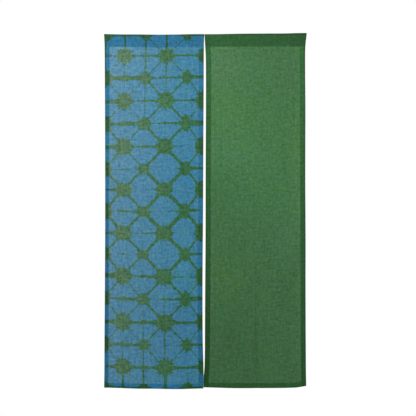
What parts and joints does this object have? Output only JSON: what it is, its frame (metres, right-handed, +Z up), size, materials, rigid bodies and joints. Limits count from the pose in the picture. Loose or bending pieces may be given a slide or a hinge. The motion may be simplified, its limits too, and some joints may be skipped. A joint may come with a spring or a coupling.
{
  "type": "noren curtain",
  "caption": "Noren door curtain of flat-hung cotton panels side by side, one clamp-dyed and one plain, each with a rod pocket along its top, narrow side hems and a foot hem.",
  "frame": {"origin": "on the top edge, midway between the two panels, in the plane of the cloth", "axes": "+X to the right of someone who faces the front, +Y from the front to the back, +Z up"},
  "size_m": [0.8558, 0.015, 1.5073],
  "materials": {
    "clamp_dyed_cotton": "matt slubby plain weave, blue with a green folded-and-clamped lattice of stars",
    "plain_dyed_cotton": "matt slubby plain weave, plain green"
  },
  "bodies": {
    "root": {"left_heading": "clamp_dyed_cotton", "left_panel": "clamp_dyed_cotton", "right_heading": "plain_dyed_cotton", "right_panel": "plain_dyed_cotton"}
  },
  "joints": []
}
